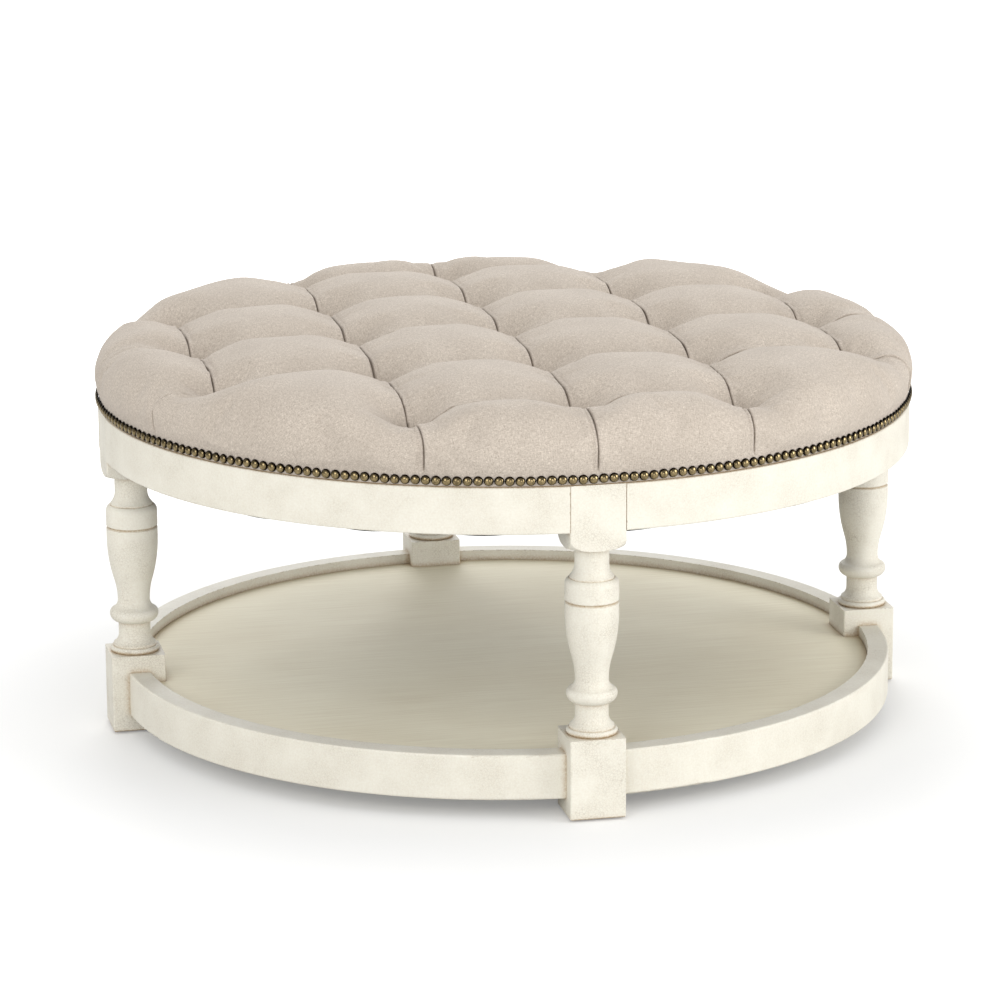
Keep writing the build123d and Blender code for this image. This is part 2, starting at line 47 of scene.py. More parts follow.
# Legs, apron rails and shelf rims: hardwood under a cream chalk paint that was
# rubbed with an ochre glaze. The glaze stays in joints, grooves and fine cracks,
# and the paint is worn through in chips on the edges.
paint_cream = "#e4e1d5"
paint_warm = "#ddd9cc"
glaze_ochre = "#a98a5c"
glaze_dark = "#6f5738"
bare_edge = "#8a6f4c"
paint_roughness = 0.52
paint_shine = 0.35
mottle_size = 45 * mm
fleck_size = 2.4 * mm
rub_share = 0.14
crackle_size = 3.2 * mm
crackle_width = 0.09
crackle_warp = 0.004
warp_size = 8 * mm
glaze_reach = 9 * mm
glaze_share = 0.85
least_glaze = 0.45
wear_radius = 2.2 * mm
chip_frequency = 0.35
grain_depth = 0.22 * mm


def linear(colour):
    """An sRGB hex colour as linear RGBA."""
    channels = [int(colour[i:i + 2], 16) / 255 for i in (1, 3, 5)]
    return [c / 12.92 if c <= 0.04045 else ((c + 0.055) / 1.055) ** 2.4 for c in channels] + [1]


def new_material(name, colour, roughness, metallic=0.0):
    """A material with its shader's plain values set."""
    material = bpy.data.materials.new(name)
    material.use_nodes = True
    shader = material.node_tree.nodes["Principled BSDF"]
    shader.inputs["Base Color"].default_value = linear(colour)
    shader.inputs["Roughness"].default_value = roughness
    shader.inputs["Metallic"].default_value = metallic
    return material, shader


def add_node(material, kind, inputs, output=0, **settings):
    """Adds a node with its settings and inputs, and returns one of its outputs."""
    node = material.node_tree.nodes.new(kind)
    for name, value in settings.items():
        setattr(node, name, value)
    for name, value in inputs.items():
        if isinstance(value, bpy.types.NodeSocket):
            material.node_tree.links.new(value, node.inputs[name])
        else:
            node.inputs[name].default_value = value
    return node.outputs[output]


def connect(material, shader, colour, height, depth):
    """Joins a colour and a height pattern to the shader."""
    material.node_tree.links.new(colour, shader.inputs["Base Color"])
    bump = add_node(
        material, "ShaderNodeBump", {"Height": height, "Distance": depth, "Strength": 1.0}
    )
    material.node_tree.links.new(bump, shader.inputs["Normal"])


def paint(name, base, second, crackle_share, chip_share):
    """Rubbed and glazed chalk paint. The glaze gathers where surfaces meet and in cracks."""
    material, shader = new_material(name, base, paint_roughness)
    shader.inputs["Specular IOR Level"].default_value = paint_shine
    place = add_node(material, "ShaderNodeTexCoord", {}, 3)
    cloud = add_node(
        material, "ShaderNodeTexNoise", {"Vector": place, "Scale": 1 / mottle_size, "Detail": 4.0}
    )
    cloud = add_node(
        material, "ShaderNodeMapRange", {"Value": cloud, "From Min": 0.3, "From Max": 0.75}
    )
    tone = add_node(
        material, "ShaderNodeMix",
        {0: cloud, 6: linear(base), 7: linear(second)}, 2, data_type="RGBA",
    )
    fleck = add_node(
        material, "ShaderNodeTexNoise", {"Vector": place, "Scale": 1 / fleck_size, "Detail": 3.0}
    )
    rub = add_node(
        material, "ShaderNodeMapRange",
        {"Value": fleck, "From Min": 0.3, "From Max": 0.75, "To Max": rub_share},
    )
    tone = add_node(
        material, "ShaderNodeMix", {0: rub, 6: tone, 7: linear(glaze_ochre)}, 2, data_type="RGBA"
    )
    warped = add_node(
        material, "ShaderNodeTexNoise", {"Vector": place, "Scale": 1 / warp_size, "Detail": 2.0}, 1
    )
    warped = add_node(
        material, "ShaderNodeMix", {0: crackle_warp, 6: place, 7: warped}, 2, data_type="RGBA"
    )
    crack = add_node(
        material, "ShaderNodeTexVoronoi",
        {"Vector": warped, "Scale": 1 / crackle_size}, 0, feature="DISTANCE_TO_EDGE",
    )
    crack = add_node(
        material, "ShaderNodeMapRange",
        {"Value": crack, "From Min": 0.0, "From Max": crackle_width,
         "To Min": crackle_share, "To Max": 0.0},
    )
    patch = add_node(
        material, "ShaderNodeMapRange", {"Value": cloud, "From Min": 0.2, "From Max": 0.8}
    )
    crack = add_node(material, "ShaderNodeMath", {0: crack, 1: patch}, operation="MULTIPLY")
    tone = add_node(
        material, "ShaderNodeMix", {0: crack, 6: tone, 7: linear(glaze_dark)}, 2, data_type="RGBA"
    )
    openness = add_node(
        material, "ShaderNodeAmbientOcclusion",
        {"Distance": glaze_reach}, 1, samples=6, only_local=False,
    )
    pooled_and_shade = add_node(
        material, "ShaderNodeMapRange",
        {"Value": openness, "From Min": 0.35, "From Max": 0.92,
         "To Min": glaze_share, "To Max": 0.0},
    )
    uneven = add_node(
        material, "ShaderNodeMapRange",
        {"Value": fleck, "From Min": 0.3, "From Max": 0.6, "To Min": least_glaze},
    )
    pooled_and_shade = add_node(material, "ShaderNodeMath", {0: pooled_and_shade, 1: uneven}, operation="MULTIPLY")
    tone = add_node(
        material, "ShaderNodeMix", {0: pooled_and_shade, 6: tone, 7: linear(glaze_ochre)}, 2, data_type="RGBA"
    )
    rounded = add_node(material, "ShaderNodeBevel", {"Radius": wear_radius}, samples=4)
    facing = add_node(material, "ShaderNodeNewGeometry", {}, 1)
    edge = add_node(
        material, "ShaderNodeVectorMath", {0: rounded, 1: facing}, 1, operation="DOT_PRODUCT"
    )
    chipped = add_node(
        material, "ShaderNodeTexNoise",
        {"Vector": place, "Scale": chip_frequency / fleck_size, "Detail": 4.0},
    )
    edge = add_node(
        material, "ShaderNodeMapRange",
        {"Value": edge, "From Min": 0.8, "From Max": 0.99, "To Min": chip_share, "To Max": 0.0},
    )
    chipped = add_node(
        material, "ShaderNodeMapRange", {"Value": chipped, "From Min": 0.54, "From Max": 0.6}
    )
    edge = add_node(material, "ShaderNodeMath", {0: edge, 1: chipped}, operation="MULTIPLY")
    tone = add_node(
        material, "ShaderNodeMix", {0: edge, 6: tone, 7: linear(bare_edge)}, 2, data_type="RGBA"
    )
    height = add_node(material, "ShaderNodeMath", {0: fleck, 1: crack}, operation="SUBTRACT")
    connect(material, shader, tone, height, grain_depth)
    return material


# the flat parts are more chipped, and the turned ones more crackled
glazed_paint = paint(
    "cream_chalk_paint_glazed", paint_cream, paint_warm, crackle_share=0.16, chip_share=0.8
)
turned_paint = paint(
    "cream_chalk_paint_crackled", paint_cream, paint_warm, crackle_share=0.34, chip_share=0.6
)
for name in nodes:
    if name.startswith(("apron_rail", "shelf_rim")):
        nodes[name].data.materials.clear()
        nodes[name].data.materials.append(glazed_paint)
    elif name.startswith("leg_") and not name.startswith("leg_bolt"):
        nodes[name].data.materials.clear()
        nodes[name].data.materials.append(turned_paint)

# Shelf panel: a board under the same paint, rubbed greyer, with long faint brush
# marks along the board, soft stains, and painted shade darkening it towards the rim.
shelf_greige = "#f6f0d8"
shelf_brown = "#e6dcc0"
shelf_roughness = 0.6
shelf_shine = 0.2
brush_width = 3.4 * mm
brush_length = 110 * mm
brush_depth = 0.12 * mm
streak_share = 0.16
stain_size = 210 * mm
stain_share = 0.5
shelf_shade_reach = 14 * mm
shelf_shade_share = 0.7

shelf_paint, shelf_shader = new_material("greige_brushed_paint", shelf_greige, shelf_roughness)
shelf_shader.inputs["Specular IOR Level"].default_value = shelf_shine
place = add_node(shelf_paint, "ShaderNodeTexCoord", {}, 3)
stretched = add_node(
    shelf_paint, "ShaderNodeMapping",
    {"Vector": place, "Scale": (1 / brush_length, 1 / brush_width, 1 / brush_width)},
)
strokes = add_node(
    shelf_paint, "ShaderNodeTexNoise", {"Vector": stretched, "Scale": 1.0, "Detail": 5.0}
)
strokes = add_node(
    shelf_paint, "ShaderNodeMapRange", {"Value": strokes, "From Min": 0.3, "From Max": 0.7}
)
stain = add_node(
    shelf_paint, "ShaderNodeTexNoise", {"Vector": place, "Scale": 1 / stain_size, "Detail": 5.0}
)
stain = add_node(
    shelf_paint, "ShaderNodeMapRange",
    {"Value": stain, "From Min": 0.35, "From Max": 0.7, "To Max": stain_share},
)
streak = add_node(
    shelf_paint, "ShaderNodeMath", {0: strokes, 1: streak_share}, operation="MULTIPLY"
)
tone = add_node(
    shelf_paint, "ShaderNodeMix",
    {0: stain, 6: linear(shelf_greige), 7: linear(shelf_brown)}, 2, data_type="RGBA",
)
tone = add_node(
    shelf_paint, "ShaderNodeMix", {0: streak, 6: tone, 7: linear(glaze_ochre)}, 2, data_type="RGBA"
)
# painted shade: ambient occlusion darkens the board in the glaze colour where the rim and legs
# close it in
openness = add_node(
    shelf_paint, "ShaderNodeAmbientOcclusion", {"Distance": shelf_shade_reach}, 1, samples=6
)
pooled_and_shade = add_node(
    shelf_paint, "ShaderNodeMapRange",
    {"Value": openness, "From Min": 0.4, "From Max": 0.95,
     "To Min": shelf_shade_share, "To Max": 0.0},
)
tone = add_node(
    shelf_paint, "ShaderNodeMix", {0: pooled_and_shade, 6: tone, 7: linear(glaze_ochre)}, 2, data_type="RGBA"
)
connect(shelf_paint, shelf_shader, tone, strokes, brush_depth)
nodes["shelf_panel"].data.materials.clear()
nodes["shelf_panel"].data.materials.append(shelf_paint)

# Bearers, corner blocks and dowels: unpainted beech, planed, with its short
# flecked grain. The deck board is birch plywood with a wider grain.
beech = "#c9a77c"
beech_dark = "#a57f52"
birch = "#d8bd92"
timber_roughness = 0.6
grain_width = 3.5 * mm
grain_length = 90 * mm
grain_waver = 0.6
planed_depth = 0.1 * mm
for kind, light, dark, members in (
    ("planed_beech", beech, beech_dark,
     ("shelf_bearer", "corner_block_front", "corner_block_back", "corner_block_left",
      "corner_block_right", "apron_dowels", "rim_dowels")),
    ("birch_plywood", birch, beech, ("deck_board",)),
):
    timber, timber_shader = new_material(kind, light, timber_roughness)
    place = add_node(timber, "ShaderNodeTexCoord", {}, 3)
    stretched = add_node(
        timber, "ShaderNodeMapping",
        {"Vector": place, "Scale": (1 / grain_length, 1 / grain_width, 1 / grain_width)},
    )
    grain = add_node(
        timber, "ShaderNodeTexNoise",
        {"Vector": stretched, "Scale": 1.0, "Detail": 6.0, "Distortion": grain_waver},
    )
    grain = add_node(
        timber, "ShaderNodeMapRange", {"Value": grain, "From Min": 0.35, "From Max": 0.7}
    )
    tone = add_node(
        timber, "ShaderNodeMix", {0: grain, 6: linear(light), 7: linear(dark)}, 2, data_type="RGBA"
    )
    connect(timber, timber_shader, tone, grain, planed_depth)
    for name in nodes:
        if name.startswith(members):
            nodes[name].data.materials.clear()
            nodes[name].data.materials.append(timber)

# Screws, bolts, washers, nuts and staples: zinc-plated steel, dull and a little
# uneven, so that they catch the light without a clear mirror image. The glides are
# dark moulded nylon with a low sheen.
zinc = "#b9bcbf"
nylon_black = "#2b2622"
scuffed = "#55524e"
scuff_share = 0.3
plating_depth = 0.03 * mm
for kind, light, roughness, metallic, speck, members in (
    ("zinc_plated_steel", zinc, 0.38, 1.0, 1.5 * mm,
     ("corner_block_screws", "deck_screws", "panel_screws", "leg_bolt", "clinch_washers",
      "dust_cover_staples")),
    ("moulded_nylon", nylon_black, 0.5, 0.0, 0.8 * mm, ("glides",)),
):
    finish, finish_shader = new_material(kind, light, roughness, metallic)
    place = add_node(finish, "ShaderNodeTexCoord", {}, 3)
    pattern = add_node(
        finish, "ShaderNodeTexNoise", {"Vector": place, "Scale": 1 / speck, "Detail": 3.0}
    )
    dull = add_node(finish, "ShaderNodeMapRange", {"Value": pattern, "To Max": scuff_share})
    tone = add_node(
        finish, "ShaderNodeMix",
        {0: dull, 6: linear(light), 7: linear(scuffed)}, 2, data_type="RGBA",
    )
    connect(finish, finish_shader, tone, pattern, plating_depth)
    for name in nodes:
        if name.startswith(members):
            nodes[name].data.materials.clear()
            nodes[name].data.materials.append(finish)

# Tufted pad: foam and wadding under natural linen, drawn down by twine at 21
# points of a square grid. Between the tufts the spare cloth is folded into
# pleats, and from the outer tufts a pleat runs over the edge to the nails.
crown_height = 504 * mm
crown_fall = 12 * mm
crown_radius = 508 * mm
flat_radius = 424 * mm
bulge_radius = 510.3 * mm
bulge_height = 446 * mm
nail_line_radius = 506.3 * mm
nail_line_height = 419 * mm
hem_height = 404.7 * mm
deck_clearance_radius = 504.8 * mm
deck_rest_height = 422.3 * mm
tuft_spacing = 196 * mm
tuft_rows = 2
pit_depth = 60 * mm
pit_reach = 100 * mm
pit_power = 2.0
pit_blend = 3
pleat_depth = 18 * mm
pleat_variation = 0.12
pleat_reach = 98 * mm
pleat_power = 2.3
pleat_blend = 6
pleat_fade = 0.9
pleat_end_height = 424 * mm
tight_reach = 80 * mm
slope_step = 4 * mm
crown_steps = 60
roll_steps = 40
wall_steps = 12
core_half = 280 * mm
core_steps = 80
ring_steps = 46

tuft_steps = range(-tuft_rows, tuft_rows + 1)
tufts = [(i, j) for i in tuft_steps for j in tuft_steps if abs(i * j) < tuft_rows**2]
pleats = []
for i, j in tufts:
    for di, dj in ((1, 0), (0, 1)):
        if (i + di, j + dj) in tufts:
            pleats.append((i, j, di, dj, False))
    if abs(i) == tuft_rows:
        pleats.append((i, j, i // tuft_rows, 0, True))
    if abs(j) == tuft_rows:
        pleats.append((i, j, 0, j // tuft_rows, True))

# upright section of the untufted pad, by the way along it from the crown
section = [
    (r, crown_height - crown_fall * (r / crown_radius) ** 2)
    for r in np.linspace(0, flat_radius, crown_steps)
]
roll_width, roll_drop = bulge_radius - flat_radius, section[-1][1] - bulge_height
for turn in np.linspace(0, pi / 2, roll_steps)[1:]:
    section.append((flat_radius + roll_width * sin(turn), bulge_height + roll_drop * cos(turn)))
for share in np.linspace(0, 1, wall_steps)[1:]:
    height = bulge_height + share * (nail_line_height - bulge_height)
    section.append((nail_line_radius + (bulge_radius - nail_line_radius) * (1 - share**2), height))
section.append((nail_line_radius, hem_height))
section = np.array(section)
way = np.concatenate([[0], np.cumsum(np.hypot(*np.diff(section, axis=0).T))])
hem_way = way[-1]
pleat_end_way = np.interp(-pleat_end_height, -section[:, 1], way)


def on_section(flat):
    """Points of the flat cloth put on the untufted pad, and the pad's outward normals there."""
    reach = np.linalg.norm(flat, axis=1)
    toward = flat / np.maximum(reach, 1e-9)[:, None]
    radius = np.interp(reach, way, section[:, 0])
    height = np.interp(reach, way, section[:, 1])
    further, nearer = reach + slope_step, reach - slope_step
    slope_r = np.interp(further, way, section[:, 0]) - np.interp(nearer, way, section[:, 0])
    slope_z = np.interp(further, way, section[:, 1]) - np.interp(nearer, way, section[:, 1])
    slope = np.hypot(slope_r, slope_z)
    points = np.column_stack([toward * radius[:, None], height])
    normals = np.column_stack([toward * (-slope_z / slope)[:, None], slope_r / slope])
    return points, normals


def tuft_sink(points, reach):
    """How far tufts and pleats draw each point in, and how far the nearest fold is."""
    sink = np.zeros(len(points))
    nearest = np.full(len(points), pleat_reach)
    for order, (i, j, di, dj, outward) in enumerate(pleats):
        start = np.array([i, j]) * tuft_spacing
        along = (points[:, :2] - start) @ np.array([di, dj])
        aside = (points[:, :2] - start) @ np.array([-dj, di])
        beyond = np.maximum(-along, 0)
        if not outward:
            beyond = np.maximum(beyond, along - tuft_spacing)
        away = np.hypot(aside, beyond)
        nearest = np.minimum(nearest, away)
        # no two pleats are quite as deep
        depth = pleat_depth * (1 + pleat_variation * sin(2.3 * order))
        if outward:
            start_reach = np.linalg.norm(start)
            share = np.clip((reach - start_reach) / (pleat_end_way - start_reach), 0, 1)
            depth = depth * (1 - share**pleat_fade)
        groove = depth * (1 - np.clip(away / pleat_reach, 0, 1)) ** pleat_power
        sink = (sink**pleat_blend + groove**pleat_blend) ** (1 / pleat_blend)
    for i, j in tufts:
        away = np.hypot(points[:, 0] - i * tuft_spacing, points[:, 1] - j * tuft_spacing)
        pit = pit_depth * (1 - np.clip(away / pit_reach, 0, 1)) ** pit_power
        sink = (sink**pit_blend + pit**pit_blend) ** (1 / pit_blend)
    slack = np.clip((pleat_end_way - reach) / tight_reach, 0, 1)
    return sink * slack * (2 - slack), nearest


# cloth laid flat: a square core of even cells, and rings from it to the hem
steps = np.linspace(-core_half, core_half, core_steps + 1)
flat_points = [(x, y) for y in steps for x in steps]
loop = list(range(core_steps))
loop += [core_steps + k * (core_steps + 1) for k in range(core_steps)]
loop += [(core_steps + 1) ** 2 - 1 - k for k in range(core_steps)]
loop += [core_steps * (core_steps + 1) - k * (core_steps + 1) for k in range(core_steps)]
faces = [
    (a, a + 1, a + core_steps + 2, a + core_steps + 1)
    for row in range(core_steps)
    for a in range(row * (core_steps + 1), row * (core_steps + 1) + core_steps)
]
count = len(loop)
for ring in range(1, ring_steps + 1):
    share = ring / ring_steps
    first = len(flat_points)
    for k, inner in enumerate(loop[:count]):
        x, y = flat_points[inner]
        turn = -3 * pi / 4 + 2 * pi * k / count
        hem_x, hem_y = hem_way * cos(turn), hem_way * sin(turn)
        flat_points.append((x + share * (hem_x - x), y + share * (hem_y - y)))
    ring_now = list(range(first, first + count))
    ring_before = loop[:count] if ring == 1 else list(range(first - count, first))
    for k in range(count):
        following = (k + 1) % count
        faces.append((ring_before[k], ring_now[k], ring_now[following], ring_before[following]))
flat_points = np.array(flat_points)
plain, outward_normals = on_section(flat_points)
reaches = np.linalg.norm(flat_points, axis=1)
sunk, fold_away = tuft_sink(plain, reaches)
shape = plain - outward_normals * sunk[:, None]

pad_mesh = bpy.data.meshes.new("tufted_pad")
pad_mesh.from_pydata([tuple(p) for p in shape], [], faces)
flat_layer = pad_mesh.uv_layers.new(name="cloth")
for corner in pad_mesh.loops:
    flat_layer.data[corner.index].uv = flat_points[corner.vertex_index]
tufted_pad = bpy.data.objects.new("tufted_pad", pad_mesh)
bpy.context.scene.collection.objects.link(tufted_pad)

# The cloth is blown up from inside and held at the tufts, along the pleats and at
# the nails, so that it swells between them and wrinkles where it is held.
swell_pressure = 4.0
swell_frames = 20
swell_limit = 13 * mm
spare_cloth = -0.012
hold_width = 7 * mm
pleat_hold_share = 0.95
least_hold = 0.02
hem_band = 2 * mm
bpy.ops.object.select_all(action="DESELECT")
bpy.context.view_layer.objects.active = tufted_pad
tufted_pad.select_set(True)
held = tufted_pad.vertex_groups.new(name="held")
for index in range(len(shape)):
    pleat_hold = max(0.0, 1 - fold_away[index] / hold_width)
    low = shape[index][2] < nail_line_height + hem_band
    nail_hold = 1.0 if low and reaches[index] > hem_way / 2 else 0.0
    weight = max(nail_hold, pleat_hold_share * pleat_hold)
    if weight > least_hold:
        held.add([index], weight, "REPLACE")
cloth = tufted_pad.modifiers.new("cloth", "CLOTH")
cloth.settings.quality = 6
cloth.settings.mass = 0.3
cloth.settings.tension_stiffness = 15
cloth.settings.compression_stiffness = 15
cloth.settings.shear_stiffness = 5
cloth.settings.bending_stiffness = 0.25
cloth.settings.use_pressure = True
cloth.settings.uniform_pressure_force = swell_pressure
cloth.settings.vertex_group_mass = "held"
cloth.settings.shrink_min = spare_cloth
cloth.settings.effector_weights.gravity = 0
cloth.collision_settings.use_collision = False
cloth.point_cache.frame_start = 1
cloth.point_cache.frame_end = swell_frames
for number in range(1, swell_frames + 1):
    bpy.context.scene.frame_set(number)
swollen = tufted_pad.evaluated_get(bpy.context.evaluated_depsgraph_get()).to_mesh()
moved = np.array([v.co for v in swollen.vertices]) - shape
length = np.linalg.norm(moved, axis=1)
shape = shape + moved * np.minimum(1, swell_limit / np.maximum(length, 1e-9))[:, None]
tufted_pad.to_mesh_clear()
tufted_pad.modifiers.remove(cloth)
tufted_pad.vertex_groups.clear()
bpy.context.scene.frame_set(1)
for vertex, point in zip(pad_mesh.vertices, shape):
    vertex.co = point

# Each pleat's fold: the cloth on one side laps over the other and leaves a dark
# slit. The mesh is cut along the fold first, so that it stays sharp.
fold_offsets = [-8 * mm, -5.6 * mm, -3.4 * mm, -1 * mm, 0.0, 1 * mm, 3 * mm, 6.4 * mm]
fold_reach = 9 * mm
fold_rise = 6 * mm
cut_tolerance = 0.05 * mm
slit_depth = 4.2 * mm
slit_width = 0.9 * mm
under_fold = -5.6 * mm
under_fold_depth = 2.2 * mm
lap_height = 1.2 * mm
lap_centre = 3.2 * mm
lap_width = 2.6 * mm
lap_shift = 1.6 * mm
wrinkle_height = 0.9 * mm
wrinkle_start = 8 * mm
wrinkle_peak = 26 * mm
wrinkle_spread = 22 * mm
wrinkle_end = 88 * mm
wide_creases = 9
narrow_creases = 14
narrow_crease_share = 0.6
lump_height = 1.3 * mm
lump_size = 60 * mm
lump_rise = 30 * mm
small_lump_share = 0.35
small_lump_size = 18 * mm

work = bmesh.new()
work.from_mesh(pad_mesh)
for step in tuft_steps:
    for axis in (0, 1):
        for offset in fold_offsets:
            place = [0.0, 0.0, 0.0]
            place[axis] = step * tuft_spacing + offset
            direction = [0.0, 0.0, 0.0]
            direction[axis] = 1.0
            bmesh.ops.bisect_plane(
                work, geom=work.verts[:] + work.edges[:] + work.faces[:], dist=cut_tolerance,
                plane_co=place, plane_no=direction,
            )
work.normal_update()
shifts = {}
for vertex in work.verts:
    x, y, z = vertex.co
    if z < nail_line_height:
        continue
    rise, slide = 0.0, Vector((0, 0, 0))
    for i, j, di, dj, outward in pleats:
        from_x, from_y = x - i * tuft_spacing, y - j * tuft_spacing
        along = from_x * di + from_y * dj
        aside = from_y * di - from_x * dj
        if abs(aside) > fold_reach or along < 0 or (not outward and along > tuft_spacing):
            continue
        hold = 1.0
        if outward:
            hold = min(1.0, (z - nail_line_height) / fold_rise)
        rise -= hold * slit_depth * exp(-((aside / slit_width) ** 2))
        rise -= hold * under_fold_depth * exp(-(((aside - under_fold) / slit_width) ** 2))
        lap = exp(-(((aside - lap_centre) / lap_width) ** 2))
        rise += hold * lap_height * lap
        if 0 < aside:
            slide += Vector((dj, -di, 0)) * hold * lap_shift * lap
        break
    # creases fan out from each tuft, turned a little at each
    for i, j in tufts:
        from_x, from_y = x - i * tuft_spacing, y - j * tuft_spacing
        away = hypot(from_x, from_y)
        if wrinkle_start < away < wrinkle_end:
            turn = atan2(from_y, from_x)
            wave = sin(wide_creases * turn + 2.1 * i + 1.3 * j)
            wave += narrow_crease_share * sin(narrow_creases * turn + i - 2.7 * j)
            rise += wrinkle_height * wave * exp(-(((away - wrinkle_peak) / wrinkle_spread) ** 2))
    if z > nail_line_height:
        loose = min(1.0, (z - nail_line_height) / lump_rise)
        small_lump = small_lump_share * noise.noise(vertex.co / small_lump_size)
        rise += loose * lump_height * (noise.noise(vertex.co / lump_size) + small_lump)
    shifts[vertex] = vertex.normal * rise + slide
for vertex, shift in shifts.items():
    vertex.co += shift

# under the nails the cloth turns in at its hem, and the pad is closed on the deck
rim_edges = [edge for edge in work.edges if edge.is_boundary]
for height in (hem_height, deck_rest_height):
    grown = bmesh.ops.extrude_edge_only(work, edges=rim_edges)["geom"]
    rim_edges = [
        part for part in grown if isinstance(part, bmesh.types.BMEdge) and part.is_boundary
    ]
    for vertex in {v for edge in rim_edges for v in edge.verts}:
        outward = Vector((vertex.co.x, vertex.co.y, 0)).normalized()
        vertex.co = outward * deck_clearance_radius + Vector((0, 0, height))
bmesh.ops.holes_fill(work, edges=rim_edges)
bmesh.ops.recalc_face_normals(work, faces=work.faces)
for face in work.faces:
    face.smooth = True
work.to_mesh(pad_mesh)
work.free()

# natural linen: rough and dull, with a faint sheen where it turns away, thick and
# thin threads both ways, pale slubs, and painted shade in its folds and pits. Its
# threads are drawn coarser than the real ones, which are too fine to show.
linen_light = "#d3c8bb"
linen_dark = "#a4998d"
linen_fleck = "#e0d6ca"
linen_fold_shade = "#6b5d50"
linen_roughness = 0.92
linen_shine = 0.15
linen_sheen = 0.12
linen_sheen_roughness = 0.5
weave_size = 1.5 * mm
slub_length = 6 * mm
speckle_size = 1.6 * mm
slub_share = 0.5
cloud_frequency = 14.0
cloud_share = 0.35
fold_shade_reach = 26 * mm
fold_shade_share = 0.8
thread_depth = 0.35 * mm
linen, linen_shader = new_material("natural_woven_linen", linen_light, linen_roughness)
linen_shader.inputs["Specular IOR Level"].default_value = linen_shine
linen_shader.inputs["Sheen Weight"].default_value = linen_sheen
linen_shader.inputs["Sheen Roughness"].default_value = linen_sheen_roughness
laid = add_node(linen, "ShaderNodeUVMap", {}, uv_map="cloth")
threads = []
for lengthwise, crosswise in ((slub_length, weave_size), (weave_size, slub_length)):
    stretched = add_node(
        linen, "ShaderNodeMapping", {"Vector": laid, "Scale": (1 / lengthwise, 1 / crosswise, 1.0)}
    )
    threads.append(
        add_node(
            linen, "ShaderNodeTexNoise",
            {"Vector": stretched, "Scale": 1.0, "Detail": 3.0, "Roughness": 0.65},
        )
    )
weave = add_node(linen, "ShaderNodeMath", {0: threads[0], 1: threads[1]}, operation="ADD")
grain = add_node(
    linen, "ShaderNodeTexNoise", {"Vector": laid, "Scale": 1 / speckle_size, "Detail": 2.0}
)
mottle = add_node(linen, "ShaderNodeMath", {0: weave, 1: grain}, operation="ADD")
mottle = add_node(
    linen, "ShaderNodeMapRange", {"Value": mottle, "From Min": 1.15, "From Max": 1.85}
)
slub = add_node(
    linen, "ShaderNodeMapRange",
    {"Value": weave, "From Min": 1.16, "From Max": 1.4, "To Max": slub_share},
)
wide = add_node(
    linen, "ShaderNodeTexNoise", {"Vector": laid, "Scale": cloud_frequency, "Detail": 3.0}
)
wide = add_node(
    linen, "ShaderNodeMapRange",
    {"Value": wide, "From Min": 0.3, "From Max": 0.7, "To Max": cloud_share},
)
tone = add_node(
    linen, "ShaderNodeMix",
    {0: mottle, 6: linear(linen_dark), 7: linear(linen_light)}, 2, data_type="RGBA",
)
tone = add_node(
    linen, "ShaderNodeMix", {0: wide, 6: tone, 7: linear(linen_dark)}, 2, data_type="RGBA"
)
tone = add_node(
    linen, "ShaderNodeMix", {0: slub, 6: tone, 7: linear(linen_fleck)}, 2, data_type="RGBA"
)
# painted shade: the linen darkens in its pleats, slits and tuft pits, where occlusion finds it
# closed in
openness = add_node(
    linen, "ShaderNodeAmbientOcclusion",
    {"Distance": fold_shade_reach}, 1, samples=6, only_local=True,
)
fold_shade_mask = add_node(
    linen, "ShaderNodeMapRange",
    {"Value": openness, "From Min": 0.2, "From Max": 0.85,
     "To Min": fold_shade_share, "To Max": 0.0},
)
tone = add_node(
    linen, "ShaderNodeMix", {0: fold_shade_mask, 6: tone, 7: linear(linen_fold_shade)}, 2, data_type="RGBA"
)
connect(linen, linen_shader, tone, weave, thread_depth)
pad_mesh.materials.append(linen)
smoothing = tufted_pad.modifiers.new("smoothing", "SUBSURF")
smoothing.levels = 1
smoothing.render_levels = 1
smoothing.use_limit_surface = False
bpy.ops.object.select_all(action="DESELECT")
bpy.context.view_layer.objects.active = tufted_pad
tufted_pad.select_set(True)
bpy.ops.object.modifier_apply(modifier="smoothing")
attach(tufted_pad, "root")
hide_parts("linen_cover", "wadding", "foam_pad")

